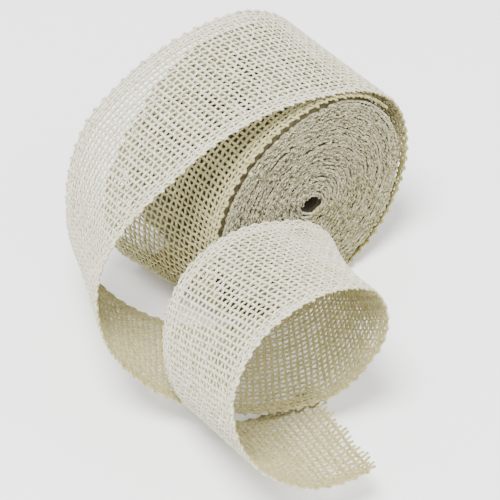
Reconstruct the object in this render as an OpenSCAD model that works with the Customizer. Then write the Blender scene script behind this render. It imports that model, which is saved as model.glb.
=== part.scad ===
// Coreless roll of open-weave ribbon that stands on its edge, with its outer end led off the roll,
// over the top, down the left side, across the floor and into a curl in front.
// The roll's axis lies along Y and its near face looks toward -Y. The origin is on the floor under the
// middle of the roll.

/* [Ribbon] */
// Width of the ribbon between its selvages
ribbon_w = 63; // [38:0.5:100]
// Thickness of one layer of the weave
layer_t = 1.2; // [0.6:0.1:2.4]

/* [Roll] */
// Radius at which the ribbon leaves the roll, to the middle of its thickness
roll_r = 54.9; // [30:0.1:90]
// Radius of the tight turns inside the slack outer turn
tight_r = 50.5; // [28:0.5:88]
// Radius of the hub coil, which the ribbon's inner end forms
hub_coil_r = 11; // [8:0.5:20]
// Radius of the hole at the centre
hole_r = 3.5; // [2:0.25:7]
// How far the slack outer turn stands off the roll at its near edge
slack_near = 6.5; // [0:1:15]
// How far the slack outer turn stands off the roll at its far edge
slack_far = 16; // [0:1:25]

/* [Loose run] */
// Angle above the horizontal at which the loose wrap leaves the roll
leave_angle = 36; // [10:1:60]
// Length of one step along the loose ribbon
run_step = 5; // [2.5:0.5:10]
// Strips across the ribbon's width
run_strips = 6; // [2:1:10]

/* [Fringe] */
// Length of the warp ends that stand out of the cut
fringe_len = 3; // [1:0.5:10]
// Thickness of a warp end
warp_d = 1; // [0.6:0.1:1.6]
// Number of warp ends
fringe_count = 14; // [6:1:20]

/* [Hidden] */

round_fn = 120;
// Gap between the tight turns and the slack outer turn round them
turn_gap = 0.4;
// Height of the tight turns' axis, which rest on the outer turn
axis_z = tight_r + turn_gap + layer_t;
// The slack outer turn is centred a little higher, and its first end hugs the tight turns
slack_rise = 1.7;
slack_z = axis_z + slack_rise;
turn_hug = 0.3;
// The coils are a little shorter than the ribbon is wide, the hub coil most
edge_inset = 0.5;
tight_w = ribbon_w - 2 * edge_inset;
hub_w = tight_w - 2 * edge_inset;
// Polar angle at which the slack turn stands farthest off, and how far the slack spreads each way
slack_angle = 225;
slack_spread_near = 50;
slack_spread_far = 95;
slack_spread_under = 75;
turn_step = 6;
foot_angle = leave_angle + 180;

ribbon_colour = [0.86, 0.84, 0.78];
inner_colour = [0.72, 0.66, 0.50];
roll_colour = [0.80, 0.75, 0.62];

// Stretches of the loose run: length, bend about the width, twist about the length
leaves_roll = [40, 38, -6];
over_top = [85, 49, 13];
shoulder = [40, 34, 20];
left_side = [40, 50, 12];
floor_turn = [45, 41, 7];
across_floor = [40, 32, 7];
curl_foot = [40, 58, 12];
curl_rise_end = [40, 68, 29];
curl_crown = [45, 51, 7];
curl_shoulder = [40, 57, 12];
curl_return = [45, 69, 5];
cut_lead = [40, 60, 10];
run_rows = [
    leaves_roll, over_top, shoulder, left_side, floor_turn, across_floor,
    curl_foot, curl_rise_end, curl_crown, curl_shoulder, curl_return, cut_lead
];

// Arc lengths at which one stretch of the loose run hands over to the next
lead_start = 60;
tail_start = 205;
rise_start = 290;
top_start = 370;
side_start = 455;
free_start = 500;
// Half of the gap left in the weave where two stretches bend against each other
bend_gap = 0.4;

// Vector v turned by a degrees about the unit axis k
function turned(v, k, a) = v * cos(a) + cross(k, v) * sin(a) + k * (k * v) * (1 - cos(a));

// A frame of the run is [centre, direction, width direction]
function next_frame(f, piece) =
    let (
        half_bend = -piece[1] / 2,
        mid_dir = turned(f[1], f[2], half_bend),
        across = turned(f[2], mid_dir, piece[2])
    )
    [f[0] + mid_dir * piece[0], turned(mid_dir, across, half_bend), across];

function row_pieces(row) =
    let (count = round(row[0] / run_step))
    [for (i = [1:count]) row / count];

run_pieces = [for (row = run_rows) each row_pieces(row)];
run_length = len(run_pieces) * run_step;
run_start = [
    [roll_r * cos(leave_angle), 0, slack_z + roll_r * sin(leave_angle)],
    [-sin(leave_angle), 0, cos(leave_angle)],
    [0, 1, 0]
];
run_frames = [
    for (
        i = 0, f = run_start;
        i <= len(run_pieces);
        f = i < len(run_pieces) ? next_frame(f, run_pieces[i]) : f, i = i + 1
    ) f
];
// The ribbon lies flat where it would pass through the floor: its under side at 0, its upper side above
function on_floor(p, side) = [p[0], p[1], max(p[2], side > 0 ? 0 : layer_t)];

// Point of the ribbon at frame f, across from -0.5 to 0.5 of the width, on the outer or inner side
function run_point(f, across, side) =
    on_floor(f[0] + f[2] * across * ribbon_w + cross(f[2], f[1]) * side * layer_t / 2, side);

function moved_on(f, distance) = [f[0] + f[1] * distance, f[1], f[2]];

// Frames between two arc lengths, with the first and last moved in by the gaps at the two ends
function stretch_frames(from, to, gap_from, gap_to) =
    let (first = round(from / run_step), last = round(to / run_step))
    [
        for (i = [first:last])
            moved_on(run_frames[i], i == first ? gap_from : i == last ? -gap_to : 0)
    ];

// Radius of the slack outer turn at a polar angle
function slack_r(angle, across) =
    let (
        far = across + 0.5,
        first_r = tight_r + layer_t / 2 - turn_hug,
        spread = angle > slack_angle
            ? slack_spread_under
            : slack_spread_near + (slack_spread_far - slack_spread_near) * far,
        swell = pow(cos(90 * min(1, abs(angle - slack_angle) / spread)), 2)
    )
    first_r + (roll_r - first_r) * (angle - leave_angle) / 360
        + (slack_near + (slack_far - slack_near) * far) * swell;

function slack_point(angle, across, side) =
    let (r = slack_r(angle, across) + side * layer_t / 2)
    on_floor([r * cos(angle), across * ribbon_w, slack_z + r * sin(angle)], side);

// Closed solid between two like grids of points, outer side first, with rows along the ribbon
module ribbon_solid(outer, inner) {
    n = run_strips + 1;
    rows = len(outer) / n;
    low = rows * n;
    spans = [for (i = [0:rows - 2]) for (j = [0:run_strips - 1]) i * n + j];
    faces = concat(
        [for (a = spans) each [[a, a + n, a + n + 1], [a, a + n + 1, a + 1]]],
        [for (a = spans) let (b = low + a) each [[b, b + n + 1, b + n], [b, b + 1, b + n + 1]]],
        [for (i = [0:rows - 2]) let (a = i * n, b = a + low) each [[a, b, b + n], [a, b + n, a + n]]],
        [for (i = [1:rows - 1]) let (a = i * n - 1, b = a + low)
            each [[a, a + n, b + n], [a, b + n, b]]],
        [for (j = [0:run_strips - 1]) let (b = j + low) each [[j, j + 1, b + 1], [j, b + 1, b]]],
        [for (j = [0:run_strips - 1]) let (a = low - n + j, b = a + low)
            each [[a, b + 1, a + 1], [a, b, b + 1]]]
    );
    polyhedron(points = concat(outer, inner), faces = faces);
}

function across_values() = [for (j = [0:run_strips]) j / run_strips - 0.5];

module ribbon_stretch(from, to, gap_from = 0, gap_to = 0) {
    frames = stretch_frames(from, to, gap_from, gap_to);
    ribbon_solid(
        [for (f = frames) for (v = across_values()) run_point(f, v, 1)],
        [for (f = frames) for (v = across_values()) run_point(f, v, -1)]
    );
}

module along_roll(length) {
    translate([0, 0, axis_z]) rotate([90, 0, 0])
        linear_extrude(height = length, center = true) children();
}

module hub_coil() {
    color(inner_colour) along_roll(hub_w) difference() {
        circle(r = hub_coil_r, $fn = round_fn);
        circle(r = hole_r, $fn = round_fn);
    }
}

module wound_roll() {
    color(roll_colour) along_roll(tight_w) difference() {
        circle(r = tight_r, $fn = round_fn);
        circle(r = hub_coil_r, $fn = round_fn);
    }
}

module slack_stretch(from, to) {
    angles = [from:turn_step:to];
    ribbon_solid(
        [for (angle = angles) for (v = across_values()) slack_point(angle, v, 1)],
        [for (angle = angles) for (v = across_values()) slack_point(angle, v, -1)]
    );
}

// The slack turn from its first end, over the top and down the left side
module outer_turn() {
    color(ribbon_colour) slack_stretch(leave_angle, foot_angle);
}

// The slack turn from the left side, flat under the roll and up to where the loose wrap begins
module turn_foot() {
    color(ribbon_colour) slack_stretch(foot_angle, leave_angle + 360);
}

module wrap_start() {
    color(ribbon_colour) ribbon_stretch(0, lead_start, gap_to = bend_gap);
}

module loose_wrap() {
    color(ribbon_colour) ribbon_stretch(lead_start, tail_start, gap_from = bend_gap);
}

module tail() {
    color(inner_colour) ribbon_stretch(tail_start, rise_start);
}

module curl_rise() {
    color(ribbon_colour) ribbon_stretch(rise_start, top_start);
}

module curl_top() {
    color(ribbon_colour) ribbon_stretch(top_start, side_start);
}

module curl_side() {
    color(ribbon_colour) ribbon_stretch(side_start, free_start, gap_to = bend_gap);
}

module free_end() {
    color(inner_colour) ribbon_stretch(free_start, run_length, gap_from = bend_gap);
}

module cut_fringe() {
    f = run_frames[len(run_frames) - 1];
    color(ribbon_colour) for (i = [0:fringe_count - 1]) {
        across = (i + 0.5) / fringe_count - 0.5;
        p = f[0] + f[2] * across * ribbon_w;
        q = f[1];
        translate([p[0], p[1], max(p[2], layer_t / 2)] - q * layer_t)
            rotate([0, acos(q[2]), atan2(q[1], q[0])])
            cylinder(d = warp_d, h = fringe_len + layer_t, $fn = 16);
    }
}

hub_coil();
wound_roll();
outer_turn();
turn_foot();
wrap_start();
loose_wrap();
tail();
curl_rise();
curl_top();
curl_side();
free_end();
cut_fringe();
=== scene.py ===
"""A coreless roll of open-weave ribbon: every yarn of its slack turn and loose run is modelled, and the
wound layers show their selvages and weft loops on the faces.
"""

import math

import bpy
import numpy as np
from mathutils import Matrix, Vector


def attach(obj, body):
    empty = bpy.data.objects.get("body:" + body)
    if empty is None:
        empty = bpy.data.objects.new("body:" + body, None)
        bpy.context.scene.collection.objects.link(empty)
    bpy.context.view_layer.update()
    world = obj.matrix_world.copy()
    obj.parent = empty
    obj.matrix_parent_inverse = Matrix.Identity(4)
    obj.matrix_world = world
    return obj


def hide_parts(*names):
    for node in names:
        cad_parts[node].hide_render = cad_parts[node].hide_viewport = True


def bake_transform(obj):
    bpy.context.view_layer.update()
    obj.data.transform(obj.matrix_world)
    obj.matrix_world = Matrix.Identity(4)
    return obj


bl_info = {
    "name": "Ribbon roll",
    "version": (1, 0, 0),
    "blender": (4, 5, 0),
    "location": "View3D > Sidebar > Ribbon roll",
    "description": "Weaves a roll of ribbon and its loose end over the packed frame",
    "category": "Object",
}

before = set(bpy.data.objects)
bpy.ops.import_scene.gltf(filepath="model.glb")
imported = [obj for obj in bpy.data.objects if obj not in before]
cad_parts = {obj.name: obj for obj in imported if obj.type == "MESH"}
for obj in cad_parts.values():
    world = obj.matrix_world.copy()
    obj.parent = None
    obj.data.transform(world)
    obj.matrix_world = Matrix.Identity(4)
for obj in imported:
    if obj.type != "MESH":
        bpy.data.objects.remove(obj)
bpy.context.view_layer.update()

MM = 0.001

# Bodies of the frame
ROOT = "outer_turn"
WOUND = "wound"
LEAD = "lead"

# Stretches of the loose run: length and step in mm, bend about the width, twist about the length
LEAVES_ROLL = (40, 38, -6)
OVER_TOP = (85, 49, 13)
SHOULDER = (40, 34, 20)
LEFT_SIDE = (40, 50, 12)
FLOOR_TURN = (45, 41, 7)
ACROSS_FLOOR = (40, 32, 7)
CURL_FOOT = (40, 58, 12)
CURL_RISE_END = (40, 68, 29)
CURL_CROWN = (45, 51, 7)
CURL_SHOULDER = (40, 57, 12)
CURL_RETURN = (45, 69, 5)
CUT_LEAD = (40, 60, 10)
RUN_ROWS = (
    LEAVES_ROLL, OVER_TOP, SHOULDER, LEFT_SIDE, FLOOR_TURN, ACROSS_FLOOR,
    CURL_FOOT, CURL_RISE_END, CURL_CROWN, CURL_SHOULDER, CURL_RETURN, CUT_LEAD,
)
RUN_STEP = 5.0
RUN_LENGTH = 540.0

# Arc lengths, in mm, at which one woven piece hands over to the next, and where the joints bend
WRAP_END = 125.0
TAIL_END = 290.0
CURL_END = 475.0

# The slack outer turn, in mm and degrees
LEAVE_ANGLE = 36.0
RUN_RADIUS = 54.9
SLACK_HEIGHT = 53.8
TURN_FIRST_RADIUS = 50.8
SLACK_ANGLE = 225.0
SLACK_NEAR = 6.5
SLACK_FAR = 16.0
SPREAD_NEAR = 50.0
SPREAD_FAR = 95.0
SPREAD_UNDER = 75.0
TURN_HALVES = ((0.0, 0.5), (0.5, 1.0))
# Share of the turn, before its end, over which its painted shade fades out
PAINTED_SHADE_FADE_SHARE = 0.3
# Lowest middle of a yarn above the floor, for one that lies in the middle of the cloth
FLOOR_CLEARANCE = 0.85

# The wound roll, in mm
ROLL_AXIS_HEIGHT = 52.1
ROLL_RADIUS = 50.5
HUB_RADIUS = 11.0
HOLE_RADIUS = 3.6

# The weft's small loops on the roll's faces
LOOP_SPACING = 1.9
LOOP_POINTS = 5
LOOP_SIDES = 4

# Painted shade: what the slack turn's colour is multiplied by where its painted shade is strongest
PAINTED_SHADE_TINT = (0.74, 0.71, 0.48)

# Warp yarns near a selvage: where the even spacing ends and where the edge yarns lie, in pitches
EVEN_SPACING_ENDS = 2.2
EDGE_WARPS = (1.55, 0.9, 0.3)

# Wanders are (size, longest wave) in mm, and spreads are (least, most)
WEFT_WANDER = (0.3, 46.0)
WEFT_SLUB = (0.2, 23.0)
WEFT_THICKNESS = (0.82, 1.18)
WEFT_LOOP = (0.15, 0.85)
WARP_WANDER = (0.2, 60.0)
WARP_SLUB = (0.14, 31.0)
WARP_THICKNESS = (0.85, 1.15)
WARP_SEED = 7
WARP_WANDER_SEED = 11
WARP_SLUB_SEED = 13
# Where a weft starts to turn back, short of the selvage, and what is left of its crimp past it
TURN_BACK = 1.2
LOOP_CRIMP = 0.3
YARN_FLATTENING = 0.14
FRINGE_SPREAD = (0.35, 1.6)
FRINGE_SPLAY = (0.35, 9.0)
FRINGE_SEED = 5
FRINGE_LIFT = 0.12
FRINGE_THINNING = 0.85
WANDER_WAVES = 3
WANDER_SCALE = 1.5
# Shifts that give each yarn its own stretch of the wander and of the fibre pattern
WEFT_SHIFT = 17.0
WEFT_SLUB_SHIFT = 5.0
WEFT_PATTERN_STEP = 3.7
WARP_PATTERN_START = 900
WARP_PATTERN_STEP = 5.3
# Least height of any point above the floor, in mm
FLOOR_GAP = 0.02

# Selvages on the roll's faces, in mm
COIL_STEP = 1.15
COIL_WANDER = (0.28, 37.0)
COIL_JITTER = 0.16
COIL_LEAN = (0.55, 120.0)
LEAN_JITTER = 0.35
FACE_INSET = 0.9
LOOP_INSET = 0.6
HOLE_SQUASH = 1.1
HOLE_LEAN = 0.9

TUBE_SIDES = 5
STEPS_PER_PITCH = 3


class RibbonSettings(bpy.types.PropertyGroup):
    width: bpy.props.FloatProperty(
        name="Width", description="Ribbon width between the selvages",
        default=0.063, min=0.02, max=0.2, unit="LENGTH", subtype="DISTANCE",
    )
    pitch: bpy.props.FloatProperty(
        name="Thread pitch", description="Spacing of the threads, middle to middle",
        default=0.0028, min=0.001, max=0.01, unit="LENGTH", subtype="DISTANCE",
    )
    yarn: bpy.props.FloatProperty(
        name="Yarn thickness", description="Mean thickness of a yarn",
        default=0.00116, min=0.0003, max=0.004, unit="LENGTH", subtype="DISTANCE",
    )
    crimp: bpy.props.FloatProperty(
        name="Crimp", description="How far a yarn swings over and under the middle of the cloth",
        default=0.0003, min=0.0, max=0.001, unit="LENGTH", subtype="DISTANCE",
    )
    fringe: bpy.props.FloatProperty(
        name="Fringe", description="Mean length of the warp ends that stand out of the cut",
        default=0.0019, min=0.0, max=0.02, unit="LENGTH", subtype="DISTANCE",
    )


class RollSettings(bpy.types.PropertyGroup):
    coil_pitch: bpy.props.FloatProperty(
        name="Coil pitch", description="Spacing of the wound layers",
        default=0.00135, min=0.0005, max=0.004, unit="LENGTH", subtype="DISTANCE",
    )
    edge_cord: bpy.props.FloatProperty(
        name="Selvage thickness", description="Thickness of a layer's edge on the roll's face",
        default=0.00135, min=0.0005, max=0.004, unit="LENGTH", subtype="DISTANCE",
    )
    recess: bpy.props.FloatProperty(
        name="Recess", description="How far the packed layers lie behind their selvages",
        default=0.0016, min=0.0, max=0.01, unit="LENGTH", subtype="DISTANCE",
    )


class StageSettings(bpy.types.PropertyGroup):
    lens: bpy.props.FloatProperty(
        name="Lens", description="Focal length of the camera", default=182.0, min=10.0, max=400.0,
    )
    azimuth: bpy.props.FloatProperty(
        name="Azimuth", description="Camera azimuth in degrees", default=-39.63,
    )
    elevation: bpy.props.FloatProperty(
        name="Elevation", description="Camera height above the horizon in degrees", default=42.6,
    )
    distance: bpy.props.FloatProperty(
        name="Distance", description="Distance from the camera to its target",
        default=1.11483, min=0.1, max=10.0, unit="LENGTH", subtype="DISTANCE",
    )


# ---------------------------------------------------------------- shape of the cloth

def unit(v):
    """Vectors of length 1 in v's directions."""
    return v / np.linalg.norm(v, axis=-1, keepdims=True)


def turned(v, axis, angle):
    """v turned by angle, in radians, about a unit axis."""
    c = math.cos(angle)
    return v * c + np.cross(axis, v) * math.sin(angle) + axis * axis.dot(v) * (1 - c)


def run_frames():
    """Centres, directions and width directions along the loose run, one for each step."""
    start = math.radians(LEAVE_ANGLE)
    centre = np.array([
        RUN_RADIUS * math.cos(start), 0.0, SLACK_HEIGHT + RUN_RADIUS * math.sin(start),
    ])
    along = np.array([-math.sin(start), 0.0, math.cos(start)])
    across = np.array([0.0, 1.0, 0.0])
    frames = [(centre, along, across)]
    for length, bend, twist in RUN_ROWS:
        count = round(length / RUN_STEP)
        for _ in range(count):
            half_bend = -math.radians(bend / count) / 2
            mid = turned(along, across, half_bend)
            across = turned(across, mid, math.radians(twist / count))
            centre = centre + mid * length / count
            along = turned(mid, across, half_bend)
            frames.append((centre, along, across))
    return [np.array(column) for column in zip(*frames)]


RUN_CENTRES, RUN_ALONG, RUN_ACROSS = run_frames()


def run_surface(arc, across, height):
    """Points and outward normals of the loose run, in mm. Beyond its two ends the run goes straight on."""
    inside = np.clip(arc, 0, RUN_LENGTH)
    place = inside / RUN_STEP
    low = np.minimum(place.astype(int), len(RUN_CENTRES) - 2)
    part = (place - low)[..., None]
    along = unit(RUN_ALONG[low] * (1 - part) + RUN_ALONG[low + 1] * part)
    wide = unit(RUN_ACROSS[low] * (1 - part) + RUN_ACROSS[low + 1] * part)
    # A cubic through both ends, with the frames' own directions
    a, b = RUN_CENTRES[low], RUN_CENTRES[low + 1]
    ta, tb = RUN_ALONG[low] * RUN_STEP, RUN_ALONG[low + 1] * RUN_STEP
    p2, p3 = part ** 2, part ** 3
    centre = (2 * p3 - 3 * p2 + 1) * a + (p3 - 2 * p2 + part) * ta
    centre = centre + (3 * p2 - 2 * p3) * b + (p3 - p2) * tb
    centre = centre + along * (arc - inside)[..., None]
    normal = unit(np.cross(wide, along))
    return centre + wide * across[..., None] + normal * height[..., None], normal


def turn_surface(arc, across, height):
    """Points and outward normals of the slack outer turn, where arc runs from 0 to 1 round it."""
    angle = LEAVE_ANGLE + 360 * arc
    far = across / settings().width * MM + 0.5
    spread = np.where(
        angle > SLACK_ANGLE, SPREAD_UNDER, SPREAD_NEAR + (SPREAD_FAR - SPREAD_NEAR) * far,
    )
    swell = np.cos(np.radians(90 * np.minimum(1, np.abs(angle - SLACK_ANGLE) / spread))) ** 2
    radius = TURN_FIRST_RADIUS + (RUN_RADIUS - TURN_FIRST_RADIUS) * arc
    radius = radius + (SLACK_NEAR + (SLACK_FAR - SLACK_NEAR) * far) * swell + height
    turn = np.radians(angle)
    points = np.stack(
        [radius * np.cos(turn), across, SLACK_HEIGHT + radius * np.sin(turn)], axis=-1,
    )
    return points, np.stack([np.cos(turn), 0 * across, np.sin(turn)], axis=-1)


def turn_painted_shade(arc):
    """How much painted shade the slack turn's colour takes. It fades where the wrap begins."""
    share = np.clip((1 - arc) / PAINTED_SHADE_FADE_SHARE, 0, 1)
    return share * share * (3 - 2 * share)


def run_painted_shade(arc):
    """The loose run takes none of the slack turn's painted shade."""
    return 0 * arc


def settings():
    """The ribbon's settings in the sidebar."""
    return bpy.context.scene.ribbon_settings


def pressed(lines, height):
    """Lines of yarn kept above the floor, each by its own height in the cloth."""
    lines[..., 2] = np.maximum(lines[..., 2], FLOOR_CLEARANCE - height)
    return lines


def slow_wander(x, seed, size, wave):
    """A smooth deterministic wander of about size, with a longest wave of wave."""
    rng = np.random.RandomState(seed)
    total = 0 * x
    for octave in range(WANDER_WAVES):
        phase = rng.uniform(0, 2 * math.pi, x.shape[:1] + (1,) * (x.ndim - 1))
        scale = rng.uniform(0.8, 1.3, x.shape[:1] + (1,) * (x.ndim - 1))
        total = total + np.sin(2 * math.pi * x * scale * 2 ** octave / wave + phase) / (octave + 1)
    return total * size / WANDER_SCALE


def warp_places(width, pitch):
    """Where the warp yarns lie across the ribbon, in mm: evenly, and crowded at each selvage."""
    half = width / 2
    inner = half - EVEN_SPACING_ENDS * pitch
    count = int(round(2 * inner / pitch))
    middle = np.linspace(-inner, inner, count + 1)
    edge = half - np.array(EDGE_WARPS) * pitch
    return np.concatenate([-edge, middle, edge[::-1]])


def tube_mesh(name, lines, ups, radii, flatten, runs, k=TUBE_SIDES):
    """One closed tube for each line of points, as one mesh. runs tells the finish where it is."""
    m, n = lines.shape[:2]
    tangent = unit(np.gradient(lines, axis=1))
    side = unit(np.cross(tangent, ups))
    up = np.cross(side, tangent)
    ring = np.arange(k) * 2 * math.pi / k + math.pi / 2
    wide = side[:, :, None] * np.cos(ring)[:, None] * (radii * (1 + flatten))[:, :, None, None]
    tall = up[:, :, None] * np.sin(ring)[:, None] * (radii * (1 - flatten))[:, :, None, None]
    points = (lines[:, :, None] + wide + tall).reshape(-1, 3)
    # Nothing sinks through the floor
    points[:, 2] = np.maximum(points[:, 2], FLOOR_GAP)
    base = (np.arange(m) * n * k)[:, None, None]
    step = (np.arange(n - 1) * k)[None, :, None]
    here = np.arange(k)[None, None, :]
    after = (here + 1) % k
    low = base + step
    quads = np.stack(
        [low + here, low + after, low + k + after, low + k + here], axis=-1,
    ).reshape(-1, 4)
    first = base[:, :, 0] + np.arange(k)[None, ::-1]
    last = base[:, :, 0] + (n - 1) * k + np.arange(k)[None, :]
    mesh = mesh_from(name, points * MM, quads, np.concatenate([first, last]))
    store(mesh, "yarn_run", np.repeat(runs.reshape(-1, 3), k, axis=0))
    # Which way each point of a tube faces in the cloth; the finish paints shade on the side that faces
    # inward
    facing = np.tile(np.sin(ring), m * n)
    mesh.attributes.new("outward", "FLOAT", "POINT").data.foreach_set(
        "value", facing.astype(np.float32),
    )
    return mesh


def mesh_from(name, points, quads, caps):
    """A smooth mesh of points in metres, with four-sided faces and end caps."""
    mesh = bpy.data.meshes.new(name)
    loops = np.concatenate([quads.reshape(-1), caps.reshape(-1)]).astype(np.int32)
    sizes = np.concatenate([np.full(len(quads), 4), np.full(len(caps), caps.shape[1])])
    starts = np.concatenate([[0], np.cumsum(sizes)[:-1]]).astype(np.int32)
    mesh.vertices.add(len(points))
    mesh.vertices.foreach_set("co", points.astype(np.float32).reshape(-1))
    mesh.loops.add(len(loops))
    mesh.loops.foreach_set("vertex_index", loops)
    mesh.polygons.add(len(sizes))
    mesh.polygons.foreach_set("loop_start", starts)
    mesh.update(calc_edges=True)
    mesh.validate()
    mesh.polygons.foreach_set("use_smooth", np.ones(len(mesh.polygons), dtype=bool))
    return mesh


def store(mesh, name, vectors):
    """Keeps one vector for each point of the mesh, for the finish to read."""
    attribute = mesh.attributes.new(name, "FLOAT_VECTOR", "POINT")
    attribute.data.foreach_set("vector", vectors.astype(np.float32).reshape(-1))


def joined_object(name, meshes, material):
    """One object of all the meshes, named and with its finish."""
    for part in bpy.context.selected_objects:
        part.select_set(False)
    objects = []
    for mesh in meshes:
        part = bpy.data.objects.new(name, mesh)
        bpy.context.scene.collection.objects.link(part)
        part.select_set(True)
        objects.append(part)
    bpy.context.view_layer.objects.active = objects[0]
    if len(objects) > 1:
        bpy.ops.object.join()
    obj = bpy.context.view_layer.objects.active
    obj.name = name
    obj.data.name = name
    obj.select_set(False)
    obj.data.materials.clear()
    obj.data.materials.append(material)
    return obj


def weave(name, surface, start, end, length, seed, painted_shade_at, arc_scale=1.0, fringe=0.0):
    """The warp and weft yarns of one woven stretch. Arc lengths are in mm along the cloth."""
    prop = settings()
    width, pitch = prop.width / MM, prop.pitch / MM
    radius, crimp = prop.yarn / MM / 2, prop.crimp / MM
    places = warp_places(width, pitch)
    order = np.arange(len(places))

    # Weft: across the ribbon, each meeting its neighbour in a small loop beyond the selvage
    picks = np.arange(math.ceil(start / pitch - 0.5), math.ceil(end / pitch - 0.5))
    rng = np.random.RandomState(seed)
    loop = rng.uniform(*WEFT_LOOP, (len(picks), 1))
    samples = int((width + 1) / pitch * STEPS_PER_PITCH)
    x = np.linspace(-1, 1, samples)[None, :] * (width / 2 + loop)
    own = (picks + 0.5)[:, None] * pitch
    arc = own + slow_wander(x + WEFT_SHIFT * picks[:, None], seed, *WEFT_WANDER)
    even = np.where(picks % 2 == 0, 1.0, -1.0)[:, None]
    edge = np.clip((np.abs(x) - (width / 2 - TURN_BACK)) / (loop + TURN_BACK), 0, 1)
    arc = arc * (1 - edge) + (own + np.sign(x) * even * pitch / 2) * edge
    phase = np.interp(x, places, order)
    height = crimp * np.cos(math.pi * (phase + picks[:, None]))
    height = np.where(np.abs(x) > width / 2, height * LOOP_CRIMP, height)
    slub = 1 + slow_wander(x + WEFT_SLUB_SHIFT * picks[:, None], seed + 1, *WEFT_SLUB)
    weft_radius = radius * slub * rng.uniform(*WEFT_THICKNESS, (len(picks), 1))
    lines, ups = surface(arc * arc_scale, x, height)
    lines = pressed(lines, height)
    pattern = 0 * x + picks[:, None] * WEFT_PATTERN_STEP
    # The second number is how much painted shade the yarn's colour takes
    runs = np.stack([x, painted_shade_at(arc * arc_scale), pattern], axis=-1)
    meshes = [tube_mesh(name + " weft", lines, ups, weft_radius, YARN_FLATTENING, runs)]

    # Warp: along the ribbon, opposite to the weft at every crossing
    rng = np.random.RandomState(WARP_SEED)
    tail = np.zeros(len(places))
    if fringe:
        tail = fringe * rng.uniform(*FRINGE_SPREAD, len(places))
    samples = int((end - start) / pitch * STEPS_PER_PITCH)
    share = np.linspace(0, 1, samples)[None, :]
    arc = start + (end - start + tail[:, None]) * share
    x = places[:, None] + slow_wander(arc, WARP_WANDER_SEED, *WARP_WANDER)
    past = np.maximum(0, arc - length)
    x = x + past * slow_wander(0 * arc + places[:, None], FRINGE_SEED, *FRINGE_SPLAY)
    height = -crimp * np.cos(math.pi * (order[:, None] + arc / pitch - 0.5))
    height = np.where(past > 0, past * FRINGE_LIFT, height)
    slub = 1 + slow_wander(arc, WARP_SLUB_SEED, *WARP_SLUB)
    warp_radius = radius * slub * rng.uniform(*WARP_THICKNESS, (len(places), 1))
    warp_radius = np.where(past > 0, warp_radius * FRINGE_THINNING, warp_radius)
    lines, ups = surface(arc * arc_scale, x, height)
    lines = pressed(lines, height)
    pattern = 0 * arc + WARP_PATTERN_START + order[:, None] * WARP_PATTERN_STEP
    # The second number is how much painted shade the yarn's colour takes
    runs = np.stack([arc, painted_shade_at(arc * arc_scale), pattern], axis=-1)
    meshes.append(tube_mesh(name + " warp", lines, ups, warp_radius, YARN_FLATTENING, runs))
    return meshes


# ---------------------------------------------------------------- finishes

def node_at(tree, kind, **values):
    """A new shader node with its own properties set."""
    node = tree.nodes.new(kind)
    for key, value in values.items():
        setattr(node, key, value)
    return node


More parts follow.
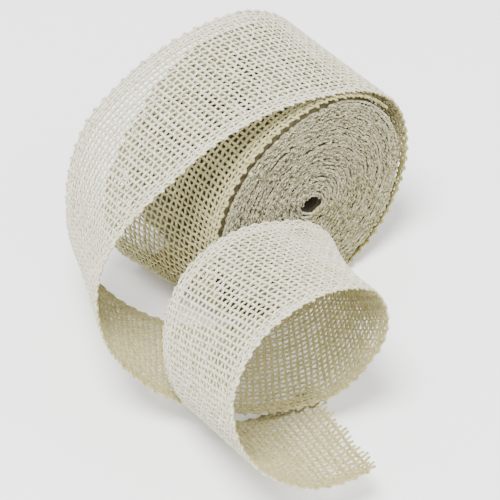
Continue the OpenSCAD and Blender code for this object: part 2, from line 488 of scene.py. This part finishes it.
def fibre_and_painted_shade_group():
    """Streaks along a yarn and patches over the cloth, with painted shade on the yarns' inner sides and on
    the slack turn, shared by every finish.
    """
    if "Yarn fibres and painted shade" in bpy.data.node_groups:
        return bpy.data.node_groups["Yarn fibres and painted shade"]
    tree = bpy.data.node_groups.new("Yarn fibres and painted shade", "ShaderNodeTree")
    for name, kind in (
        ("Along", "NodeSocketVector"), ("Place", "NodeSocketVector"), ("Outward", "NodeSocketFloat"),
        ("Light", "NodeSocketColor"), ("Dark", "NodeSocketColor"), ("Inner painted shade", "NodeSocketColor"),
        ("Painted shade", "NodeSocketColor"),
    ):
        tree.interface.new_socket(name, in_out="INPUT", socket_type=kind)
    for name, kind in (("Colour", "NodeSocketColor"), ("Height", "NodeSocketFloat")):
        tree.interface.new_socket(name, in_out="OUTPUT", socket_type=kind)
    source = tree.nodes.new("NodeGroupInput")
    target = tree.nodes.new("NodeGroupOutput")
    link = tree.links.new

    stretch = node_at(tree, "ShaderNodeVectorMath", operation="MULTIPLY")
    stretch.inputs[1].default_value = (0.55, 1.0, 1.0)
    link(source.outputs["Along"], stretch.inputs[0])
    streak = tree.nodes.new("ShaderNodeTexNoise")
    streak.inputs["Scale"].default_value = 1.0
    streak.inputs["Detail"].default_value = 4.0
    link(stretch.outputs[0], streak.inputs["Vector"])
    patch = tree.nodes.new("ShaderNodeTexNoise")
    patch.inputs["Scale"].default_value = 900.0
    patch.inputs["Detail"].default_value = 3.0
    link(source.outputs["Place"], patch.inputs["Vector"])
    both = node_at(tree, "ShaderNodeMath", operation="ADD")
    link(streak.outputs["Fac"], both.inputs[0])
    link(patch.outputs["Fac"], both.inputs[1])
    amount = node_at(tree, "ShaderNodeMapRange")
    amount.inputs["From Min"].default_value = 0.72
    amount.inputs["From Max"].default_value = 1.3
    link(both.outputs[0], amount.inputs["Value"])
    yarn = node_at(tree, "ShaderNodeMix", data_type="RGBA")
    link(amount.outputs["Result"], yarn.inputs["Factor"])
    link(source.outputs["Dark"], yarn.inputs["A"])
    link(source.outputs["Light"], yarn.inputs["B"])
    # Painted shade: the side of each yarn that faces into the cloth is multiplied by the inner tint
    side = node_at(tree, "ShaderNodeMapRange")
    side.inputs["From Min"].default_value = 0.55
    side.inputs["From Max"].default_value = -0.35
    link(source.outputs["Outward"], side.inputs["Value"])
    with_inner_painted_shade = node_at(tree, "ShaderNodeMix", data_type="RGBA")
    link(side.outputs["Result"], with_inner_painted_shade.inputs["Factor"])
    link(yarn.outputs["Result"], with_inner_painted_shade.inputs["A"])
    painted_shade_tint = node_at(tree, "ShaderNodeMix", data_type="RGBA", blend_type="MULTIPLY")
    painted_shade_tint.inputs["Factor"].default_value = 1.0
    link(yarn.outputs["Result"], painted_shade_tint.inputs["A"])
    link(source.outputs["Inner painted shade"], painted_shade_tint.inputs["B"])
    link(painted_shade_tint.outputs["Result"], with_inner_painted_shade.inputs["B"])
    # The second number of the yarn's attribute tells how much painted shade its colour takes
    painted_shade_share = tree.nodes.new("ShaderNodeSeparateXYZ")
    link(source.outputs["Along"], painted_shade_share.inputs[0])
    painted_shade_mix = node_at(tree, "ShaderNodeMix", data_type="RGBA", blend_type="MULTIPLY")
    link(painted_shade_share.outputs["Y"], painted_shade_mix.inputs["Factor"])
    link(with_inner_painted_shade.outputs["Result"], painted_shade_mix.inputs["A"])
    link(source.outputs["Painted shade"], painted_shade_mix.inputs["B"])
    link(painted_shade_mix.outputs["Result"], target.inputs["Colour"])
    link(both.outputs[0], target.inputs["Height"])
    return tree


def yarn_finish_with_painted_shade(name, light, dark, inner):
    """A natural yarn: streaked and matt, with painted shade on the inner side of each yarn."""
    if name in bpy.data.materials:
        return bpy.data.materials[name]
    material = bpy.data.materials.new(name)
    material.use_nodes = True
    tree = material.node_tree
    shader = tree.nodes["Principled BSDF"]
    shader.inputs["Roughness"].default_value = 0.88
    shader.inputs["Specular IOR Level"].default_value = 0.2
    shader.inputs["Sheen Weight"].default_value = 0.15
    fibres = tree.nodes.new("ShaderNodeGroup")
    fibres.node_tree = fibre_and_painted_shade_group()
    fibres.inputs["Light"].default_value = (*light, 1)
    fibres.inputs["Dark"].default_value = (*dark, 1)
    # Painted shade for the inner side of each yarn
    fibres.inputs["Inner painted shade"].default_value = (*inner, 1)
    # Painted shade, multiplied into the slack turn's colour
    fibres.inputs["Painted shade"].default_value = (*PAINTED_SHADE_TINT, 1)
    run = node_at(tree, "ShaderNodeAttribute", attribute_name="yarn_run")
    facing = node_at(tree, "ShaderNodeAttribute", attribute_name="outward")
    place = tree.nodes.new("ShaderNodeTexCoord")
    link = tree.links.new
    link(run.outputs["Vector"], fibres.inputs["Along"])
    link(facing.outputs["Fac"], fibres.inputs["Outward"])
    link(place.outputs["Object"], fibres.inputs["Place"])
    bump = tree.nodes.new("ShaderNodeBump")
    bump.inputs["Strength"].default_value = 0.6
    bump.inputs["Distance"].default_value = 0.0004
    link(fibres.outputs["Height"], bump.inputs["Height"])
    link(bump.outputs["Normal"], shader.inputs["Normal"])
    link(fibres.outputs["Colour"], shader.inputs["Base Color"])
    return material


def ribbon_finish():
    """The pale yarn of the ribbon, with painted shade on the yarns' inner sides."""
    return yarn_finish_with_painted_shade("Ribbon yarn with painted shade", (0.72, 0.70, 0.585), (0.43, 0.40, 0.265), (0.64, 0.59, 0.33))


def face_painted_shade_finish():
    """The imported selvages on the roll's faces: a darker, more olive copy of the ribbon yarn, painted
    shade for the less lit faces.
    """
    return yarn_finish_with_painted_shade("Selvage yarn in painted shade", (0.58, 0.55, 0.41), (0.22, 0.20, 0.10), (0.85, 0.82, 0.6))


def painted_shade_filler_finish(name, dark, light):
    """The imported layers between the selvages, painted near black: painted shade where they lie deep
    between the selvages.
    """
    material = bpy.data.materials.new(name)
    material.use_nodes = True
    tree = material.node_tree
    shader = tree.nodes["Principled BSDF"]
    shader.inputs["Roughness"].default_value = 0.95
    place = tree.nodes.new("ShaderNodeTexCoord")
    noise = tree.nodes.new("ShaderNodeTexNoise")
    noise.inputs["Scale"].default_value = 700.0
    painted_shade_tint = tree.nodes.new("ShaderNodeMix")
    painted_shade_tint.data_type = "RGBA"
    painted_shade_tint.inputs["A"].default_value = (*dark, 1)
    painted_shade_tint.inputs["B"].default_value = (*light, 1)
    link = tree.links.new
    link(place.outputs["Object"], noise.inputs["Vector"])
    link(noise.outputs["Fac"], painted_shade_tint.inputs["Factor"])
    link(painted_shade_tint.outputs["Result"], shader.inputs["Base Color"])
    return material


# ---------------------------------------------------------------- pieces

class RIBBON_OT_outer_turn(bpy.types.Operator):
    """Weave the slack outer turn round the roll"""
    bl_idname = "ribbon.outer_turn"
    bl_label = "Outer turn"

    def execute(self, context):
        length = 2 * math.pi * (TURN_FIRST_RADIUS + RUN_RADIUS) / 2 + SLACK_FAR
        for index, (first, last) in enumerate(TURN_HALVES):
            name = ("outer_turn_top", "outer_turn_under")[index]
            # The slack turn's colour takes painted shade, fading out towards its end
            meshes = weave(
                name, turn_surface, first * length, last * length, 2 * length, 20 + index,
                turn_painted_shade, arc_scale=1 / length,
            )
            obj = joined_object(name, meshes, ribbon_finish())
            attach(obj, ROOT)
            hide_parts(("outer_turn", "turn_foot")[index])
        return {"FINISHED"}


class RIBBON_OT_loose_run(bpy.types.Operator):
    """Weave the loose wrap, the tail, the front curl and the cut end"""
    bl_idname = "ribbon.loose_run"
    bl_label = "Loose run"

    def woven(self, name, start, end, seed, nodes, fringe=0.0):
        meshes = weave(name, run_surface, start, end, RUN_LENGTH, seed, run_painted_shade, fringe=fringe)
        obj = joined_object(name, meshes, ribbon_finish())
        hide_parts(*nodes)
        return obj

    def execute(self, context):
        prop = settings()

        def centre(arc):
            return Vector(run_surface(np.array([arc]), np.zeros(1), np.zeros(1))[0][0] * MM)

        wrap = self.woven("wrap_over_top", 0.0, WRAP_END, 31, ("wrap_start",))
        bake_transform(wrap)
        tail = self.woven("wrap_and_tail", WRAP_END, TAIL_END, 32, ("loose_wrap", "tail"))
        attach(tail, LEAD)
        curl = self.woven("front_curl", TAIL_END, CURL_END, 33, ("curl_rise", "curl_top", "curl_side"))
        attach(curl, LEAD)
        end = self.woven(
            "cut_end_woven", CURL_END, RUN_LENGTH, 34, ("free_end", "cut_fringe"), prop.fringe / MM,
        )
        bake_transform(end)
        return {"FINISHED"}


def spiral(first, last, pitch, face, seed, hole=False):
    """One long line of the wound layers' selvages on one face, its arc lengths and its random draws."""
    turns = (last - first) / pitch
    count = int(turns * math.pi * (first + last) / COIL_STEP)
    # Equal steps along the spiral
    share = np.linspace(0, 1, count)
    radius = np.sqrt(first ** 2 + (last ** 2 - first ** 2) * share)
    angle = 2 * math.pi * (radius - first) / pitch
    length = share * turns * math.pi * (first + last)
    rng = np.random.RandomState(seed)
    wander = slow_wander(length[None], seed, *COIL_WANDER)[0]
    wander = wander + rng.uniform(-COIL_JITTER, COIL_JITTER, count)
    lean = slow_wander(length[None], seed + 1, *COIL_LEAN)[0]
    lean = lean + rng.uniform(-LEAN_JITTER, LEAN_JITTER, count)
    if hole:
        inwards = np.clip((last - radius) / (last - first), 0, 1)
        wander = wander + HOLE_SQUASH * np.cos(2 * angle + HOLE_LEAN) * inwards
    r = radius + wander
    half = settings().width / MM / 2 - FACE_INSET
    points = np.stack(
        [r * np.cos(angle), face * (half + lean), ROLL_AXIS_HEIGHT + r * np.sin(angle)], axis=-1,
    )
    return points, length, rng


class RIBBON_OT_wound_roll(bpy.types.Operator):
    """Wind the roll's packed layers, with their selvages on both faces"""
    bl_idname = "ribbon.wound_roll"
    bl_label = "Wound roll"

    def coil(self, name, first, last, nodes, seed, hole):
        roll = bpy.context.scene.roll_settings
        pitch, cord = roll.coil_pitch / MM, roll.edge_cord / MM
        meshes = []
        for face in (-1, 1):
            lines, length, rng = spiral(first, last, pitch, face, seed + face, hole)
            beads = 0.5 + 0.5 * np.cos(2 * math.pi * length / (settings().pitch / MM))
            radii = cord / 2 * (0.72 + 0.4 * beads + rng.uniform(-0.12, 0.12, len(lines)))
            up = np.tile([0.0, float(face), 0.0], (len(lines), 1))
            runs = np.stack([length, 0 * length, 0 * length + seed], axis=-1)
            meshes.append(tube_mesh(name, lines[None], up[None], radii[None], 0.0, runs[None]))
        obj = joined_object(name, meshes, face_painted_shade_finish())
        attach(obj, WOUND)
        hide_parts(*nodes)
        return obj

    def loops(self, name, first, last, face, seed):
        """The weft's small loops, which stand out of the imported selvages."""
        roll = bpy.context.scene.roll_settings
        rng = np.random.RandomState(seed)
        pitch = roll.coil_pitch / MM
        count = int(math.pi * (last ** 2 - first ** 2) / pitch / LOOP_SPACING)
        radius = np.sqrt(rng.uniform(first ** 2, last ** 2, count))
        radius = first + np.round((radius - first) / pitch) * pitch + rng.uniform(-0.45, 0.45, count)
        angle = rng.uniform(0, 2 * math.pi, count)
        half = settings().width / MM / 2 - LOOP_INSET
        share = np.linspace(-1, 1, LOOP_POINTS)[None, :]
        reach = rng.uniform(0.7, 1.5, (count, 1)) * share
        tall = rng.uniform(0.5, 1.5, (count, 1)) * (1 - share ** 2)
        lean = rng.uniform(-0.7, 0.7, (count, 1)) * (1 - share ** 2)
        lean = lean + rng.uniform(-0.6, 0.6, (count, 1)) * share
        turn = angle[:, None] + reach / radius[:, None]
        r = radius[:, None] + lean
        lines = np.stack(
            [r * np.cos(turn), face * (half + tall), ROLL_AXIS_HEIGHT + r * np.sin(turn)], axis=-1,
        )
        ups = np.stack([np.cos(turn), 0 * turn, np.sin(turn)], axis=-1)
        thick = rng.uniform(0.2, 0.42, (count, 1)) * (1 - 0.35 * share ** 2)
        runs = np.stack([reach * 2 + angle[:, None] * 90, 0 * reach, 0 * reach + radius[:, None]], axis=-1)
        mesh = tube_mesh(name, lines, ups, thick, 0.0, runs, LOOP_SIDES)
        obj = joined_object(name, [mesh], face_painted_shade_finish())
        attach(obj, WOUND)

    def filler(self, name, inner, outer, waver, dark, light):
        roll = bpy.context.scene.roll_settings
        half = settings().width / MM / 2 - roll.recess / MM
        count = 120
        angle = np.arange(count) * 2 * math.pi / count
        hole = inner + waver * np.cos(2 * angle + HOLE_LEAN)
        rings = [(outer, -half), (outer, half), (hole, half), (hole, -half)]
        points = np.concatenate([
            np.stack([
                r * np.cos(angle), np.full(count, y), ROLL_AXIS_HEIGHT + r * np.sin(angle),
            ], axis=-1)
            for r, y in rings
        ])
        here = np.arange(count)
        after = (here + 1) % count
        quads = np.concatenate([
            np.stack([a * count + here, b * count + here, b * count + after, a * count + after], axis=-1)
            for a, b in ((0, 1), (1, 2), (2, 3), (3, 0))
        ])
        mesh = mesh_from(name, points * MM, quads, np.zeros((0, 3), dtype=int))
        obj = joined_object(name, [mesh], painted_shade_filler_finish(name, dark, light))
        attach(obj, WOUND)
        return obj

    def execute(self, context):
        self.coil("roll_face", HUB_RADIUS + 0.6, ROLL_RADIUS - 0.8, ("wound_roll",), 51, False)
        self.coil("hub_selvages", HOLE_RADIUS + 1.3, HUB_RADIUS + 0.1, ("hub_coil",), 61, True)
        self.loops("near_loops", HOLE_RADIUS + 2.2, ROLL_RADIUS - 1.0, -1, 71)
        self.loops("far_loops", HOLE_RADIUS + 2.2, ROLL_RADIUS - 1.0, 1, 72)
        # Both fillers are painted near black: painted shade between the selvages, and darkest in the hole
        # at the hub
        self.filler(
            "packed_layers_in_painted_shade", HUB_RADIUS, ROLL_RADIUS - 0.3, 0.0, (0.05, 0.04, 0.015), (0.2, 0.17, 0.085),
        )
        self.filler(
            "packed_hub_in_painted_shade", HOLE_RADIUS + 0.9, HUB_RADIUS, 0.7, (0.01, 0.007, 0.003), (0.045, 0.034, 0.015),
        )
        return {"FINISHED"}


# ---------------------------------------------------------------- stage

def aimed(obj, target):
    """Turns a light or camera towards a point."""
    direction = Vector(target) - obj.location
    obj.rotation_euler = direction.to_track_quat("-Z", "Y").to_euler()


class RIBBON_OT_stage(bpy.types.Operator):
    """Set out the floor, the lights and the camera"""
    bl_idname = "ribbon.stage"
    bl_label = "Stage"

    def light(self, name, place, target, size, energy):
        data = bpy.data.lights.new(name, "AREA")
        data.shape = "DISK"
        data.size = size
        data.energy = energy
        obj = bpy.data.objects.new(name, data)
        bpy.context.scene.collection.objects.link(obj)
        obj.location = place
        aimed(obj, target)
        return obj

    def execute(self, context):
        scene = context.scene
        prop = scene.stage_settings
        for obj in context.selected_objects:
            obj.select_set(False)
        bpy.ops.mesh.primitive_plane_add(size=12, location=(0, 0, 0))
        floor = context.active_object
        floor.name = "floor"
        white = bpy.data.materials.new("Pale floor")
        white.use_nodes = True
        shader = white.node_tree.nodes["Principled BSDF"]
        shader.inputs["Base Color"].default_value = (0.95, 0.95, 0.95, 1)
        shader.inputs["Roughness"].default_value = 0.9
        floor.data.materials.append(white)
        target = (-0.03, -0.04, 0.05)
        key = self.light("Key light", (-0.6, -0.35, 1.7), target, 0.7, 78)
        fill = self.light("Fill light", (0.9, -1.3, 0.9), target, 1.4, 10)
        world = scene.world or bpy.data.worlds.new("World")
        scene.world = world
        world.use_nodes = True
        back = world.node_tree.nodes.get("Background")
        back.inputs["Color"].default_value = (1, 1, 1, 1)
        back.inputs["Strength"].default_value = 1.35

        camera_data = bpy.data.cameras.new("Camera")
        camera_data.lens = prop.lens
        camera_data.sensor_width = 36
        camera = bpy.data.objects.new("Camera", camera_data)
        scene.collection.objects.link(camera)
        az, el = math.radians(prop.azimuth), math.radians(prop.elevation)
        forward = Vector((-math.sin(az) * math.cos(el), math.cos(az) * math.cos(el), -math.sin(el)))
        aim = Vector((-0.00769, 0.0, 0.00846))
        camera.location = aim - forward * prop.distance
        aimed(camera, aim)
        scene.camera = camera
        return {"FINISHED"}


class RIBBON_PT_sidebar(bpy.types.Panel):
    """The pieces, in the order in which they are made"""
    bl_label = "Ribbon roll"
    bl_idname = "RIBBON_PT_sidebar"
    bl_space_type = "VIEW_3D"
    bl_region_type = "UI"
    bl_category = "Ribbon roll"

    def draw(self, context):
        layout = self.layout
        for group in ("ribbon_settings", "roll_settings", "stage_settings"):
            prop = getattr(context.scene, group)
            for key in prop.__annotations__:
                layout.prop(prop, key)
        for operator in OPERATORS:
            layout.operator(operator.bl_idname)


OPERATORS = (
    RIBBON_OT_stage, RIBBON_OT_wound_roll, RIBBON_OT_outer_turn, RIBBON_OT_loose_run,
)
CLASSES = (RibbonSettings, RollSettings, StageSettings, *OPERATORS, RIBBON_PT_sidebar)


def register():
    for cls in CLASSES:
        bpy.utils.register_class(cls)
    bpy.types.Scene.ribbon_settings = bpy.props.PointerProperty(type=RibbonSettings)
    bpy.types.Scene.roll_settings = bpy.props.PointerProperty(type=RollSettings)
    bpy.types.Scene.stage_settings = bpy.props.PointerProperty(type=StageSettings)


def unregister():
    del bpy.types.Scene.ribbon_settings
    del bpy.types.Scene.roll_settings
    del bpy.types.Scene.stage_settings
    for cls in reversed(CLASSES):
        bpy.utils.unregister_class(cls)


def main():
    register()
    bpy.ops.ribbon.stage()
    bpy.ops.ribbon.wound_roll()
    bpy.ops.ribbon.outer_turn()
    bpy.ops.ribbon.loose_run()


if __name__ == "__main__":
    main()
